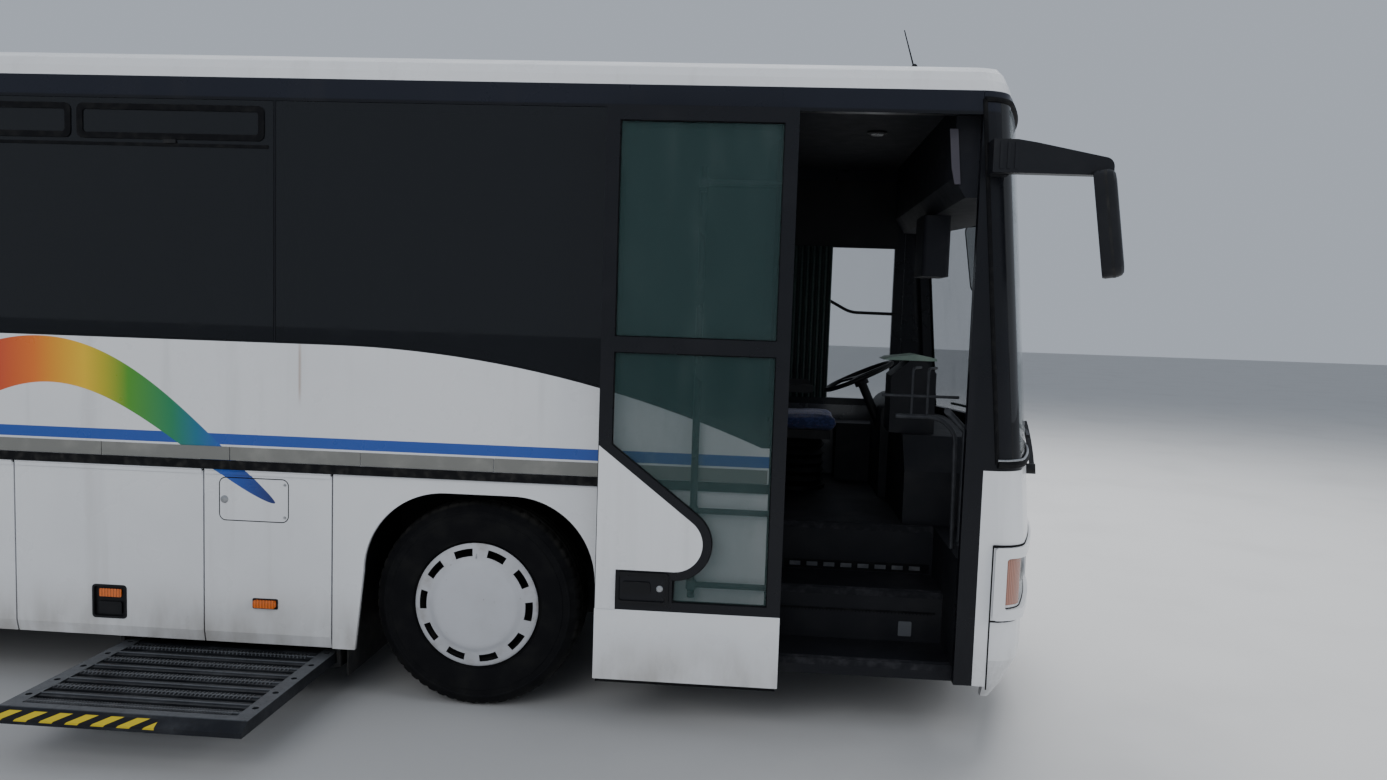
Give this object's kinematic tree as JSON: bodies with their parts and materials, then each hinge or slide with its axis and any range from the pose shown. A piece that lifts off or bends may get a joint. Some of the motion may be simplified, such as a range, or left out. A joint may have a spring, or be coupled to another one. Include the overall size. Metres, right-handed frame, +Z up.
{
  "type": "intercity passenger bus",
  "caption": "High-floor intercity bus with outward-swinging doors, luggage flaps, steered front wheels, twin rear wheels, an engine lid and a lift that slides out below the side.",
  "frame": {"origin": "on the ground, below the middle of the whole outline", "axes": "+X forward along the bus, +Y to its left, +Z up"},
  "size_m": [12.299, 3.61, 3.4439],
  "materials": {
    "body_white": "gloss",
    "frame_black": "gloss",
    "tinted_glass": "polished",
    "clear_glass": "polished",
    "chassis": "satin",
    "floor": "matte",
    "trim_black": "matte",
    "mirror_black": "satin",
    "rail_dark": "matte",
    "lamp_clear": "gloss",
    "lamp_red": "gloss",
    "seat_cloth": "matte",
    "lining": "matte",
    "tube_grey": "satin",
    "platform_metal": "satin",
    "tyre": "matte",
    "wheel_silver": "satin"
  },
  "bodies": {
    "vehicle": {"underframe": "chassis", "floor_deck": "floor", "wheel_housings": "chassis", "entry_steps": "floor", "lower_panels": "body_white", "belt_panels": "body_white", "frame_right": "frame_black", "frame_left": "frame_black", "windows": "tinted_glass", "roof": "body_white", "roof_fittings": "lining", "front_mask": "body_white", "windscreen_frame": "frame_black", "windscreen": "clear_glass", "front_bumper": "body_white", "front_lamps": "lamp_clear", "wipers": "trim_black", "mirrors": "mirror_black", "rear_wall": "body_white", "rear_bumper": "body_white", "rear_lamps": "lamp_red", "engine_block": "chassis", "rub_rails": "rail_dark", "dashboard": "trim_black", "steering_wheel": "trim_black", "driver_seat": "seat_cloth", "passenger_seats": "seat_cloth", "overhead_racks": "lining", "handrails": "tube_grey", "front_axle": "chassis", "rear_axle": "chassis", "lift_cassette": "chassis"},
    "knuckle_left": {"knuckle_left": "chassis"},
    "knuckle_right": {"knuckle_right": "chassis"},
    "front_wheel_left": {"tyre_front_left": "tyre", "rim_front_left": "wheel_silver"},
    "front_wheel_right": {"tyre_front_right": "tyre", "rim_front_right": "wheel_silver"},
    "rear_wheels_left": {"tyres_rear_left": "tyre", "rims_rear_left": "wheel_silver"},
    "rear_wheels_right": {"tyres_rear_right": "tyre", "rims_rear_right": "wheel_silver"},
    "front_door_arm": {"door_front_arm": "tube_grey"},
    "front_door_leaf": {"door_front_leaf": "body_white", "door_front_glass": "clear_glass"},
    "mid_door_arm": {"door_mid_arm": "tube_grey"},
    "mid_door_leaf": {"door_mid_leaf": "body_white", "door_mid_glass": "tinted_glass"},
    "lift_platform": {"lift_platform": "platform_metal"},
    "engine_lid": {"engine_lid": "body_white"},
    "flap_right_1": {"flap_right_1": "body_white"},
    "flap_right_2": {"flap_right_2": "body_white"},
    "flap_right_3": {"flap_right_3": "body_white"},
    "flap_right_4": {"flap_right_4": "body_white"},
    "flap_left_1": {"flap_left_1": "body_white"},
    "flap_left_2": {"flap_left_2": "body_white"},
    "flap_left_3": {"flap_left_3": "body_white"},
    "flap_left_4": {"flap_left_4": "body_white"},
    "flap_left_5": {"flap_left_5": "body_white"}
  },
  "joints": [
    {"name": "steer_left", "type": "hinge", "parent": "vehicle", "child": "knuckle_left", "pos_m": [3.22035, 1.325, 0.512], "axis": [0, 0, 1], "range_deg": [-40, 40]},
    {"name": "steer_right", "type": "hinge", "parent": "vehicle", "child": "knuckle_right", "pos_m": [3.22035, -0.685, 0.512], "axis": [0, 0, 1], "range_deg": [-40, 40]},
    {"name": "spin_front_left", "type": "hinge", "parent": "knuckle_left", "child": "front_wheel_left", "pos_m": [3.22035, 1.38, 0.512], "axis": [0, 1, 0], "continuous": true},
    {"name": "spin_front_right", "type": "hinge", "parent": "knuckle_right", "child": "front_wheel_right", "pos_m": [3.22035, -0.74, 0.512], "axis": [0, 1, 0], "continuous": true},
    {"name": "spin_rear_left", "type": "hinge", "parent": "vehicle", "child": "rear_wheels_left", "pos_m": [-2.85965, 1.237, 0.512], "axis": [0, 1, 0], "continuous": true},
    {"name": "spin_rear_right", "type": "hinge", "parent": "vehicle", "child": "rear_wheels_right", "pos_m": [-2.85965, -0.597, 0.512], "axis": [0, 1, 0], "continuous": true},
    {"name": "front_door_swing", "type": "hinge", "parent": "vehicle", "child": "front_door_arm", "pos_m": [4.64635, -0.732, 1.5], "axis": [0, 0, 1], "range_deg": [0, 127.44]},
    {"name": "front_door_parallel", "type": "hinge", "parent": "front_door_arm", "child": "front_door_leaf", "pos_m": [4.27098, -0.992, 1.5], "axis": [0, 0, -1], "range_deg": [0, 127.44]},
    {"name": "mid_door_swing", "type": "hinge", "parent": "vehicle", "child": "mid_door_arm", "pos_m": [-2.09365, -0.732, 1.5], "axis": [0, 0, -1], "range_deg": [0, 127.44]},
    {"name": "mid_door_parallel", "type": "hinge", "parent": "mid_door_arm", "child": "mid_door_leaf", "pos_m": [-1.65902, -0.872, 1.5], "axis": [0, 0, 1], "range_deg": [0, 127.44]},
    {"name": "lift_slide", "type": "slide", "parent": "vehicle", "child": "lift_platform", "axis": [0, 1, 0], "range_m": [0, 0.84]},
    {"name": "engine_lid_hinge", "type": "hinge", "parent": "vehicle", "child": "engine_lid", "pos_m": [-6.13265, 0.32, 1.338], "axis": [0, 1, 0], "range_deg": [0, 85]},
    {"name": "flap_right_1_hinge", "type": "hinge", "parent": "vehicle", "child": "flap_right_1", "pos_m": [2.22035, -0.958, 1.1325], "axis": [-1, 0, 0], "range_deg": [0, 85]},
    {"name": "flap_right_2_hinge", "type": "hinge", "parent": "vehicle", "child": "flap_right_2", "pos_m": [2.22035, -0.958, 1.1325], "axis": [-1, 0, 0], "range_deg": [0, 85]},
    {"name": "flap_right_3_hinge", "type": "hinge", "parent": "vehicle", "child": "flap_right_3", "pos_m": [2.22035, -0.958, 1.1325], "axis": [-1, 0, 0], "range_deg": [0, 85]},
    {"name": "flap_right_4_hinge", "type": "hinge", "parent": "vehicle", "child": "flap_right_4", "pos_m": [2.22035, -0.958, 1.1325], "axis": [-1, 0, 0], "range_deg": [0, 85]},
    {"name": "flap_left_1_hinge", "type": "hinge", "parent": "vehicle", "child": "flap_left_1", "pos_m": [2.22035, 1.598, 1.1325], "axis": [1, 0, 0], "range_deg": [0, 85]},
    {"name": "flap_left_2_hinge", "type": "hinge", "parent": "vehicle", "child": "flap_left_2", "pos_m": [2.22035, 1.598, 1.1325], "axis": [1, 0, 0], "range_deg": [0, 85]},
    {"name": "flap_left_3_hinge", "type": "hinge", "parent": "vehicle", "child": "flap_left_3", "pos_m": [2.22035, 1.598, 1.1325], "axis": [1, 0, 0], "range_deg": [0, 85]},
    {"name": "flap_left_4_hinge", "type": "hinge", "parent": "vehicle", "child": "flap_left_4", "pos_m": [2.22035, 1.598, 1.1325], "axis": [1, 0, 0], "range_deg": [0, 85]},
    {"name": "flap_left_5_hinge", "type": "hinge", "parent": "vehicle", "child": "flap_left_5", "pos_m": [2.22035, 1.598, 1.1325], "axis": [1, 0, 0], "range_deg": [0, 85]}
  ],
  "couplings": [
    {"joint": "steer_right", "follows": "steer_left", "ratio": 1},
    {"joint": "front_door_parallel", "follows": "front_door_swing", "ratio": 1},
    {"joint": "mid_door_parallel", "follows": "mid_door_swing", "ratio": 1}
  ]
}
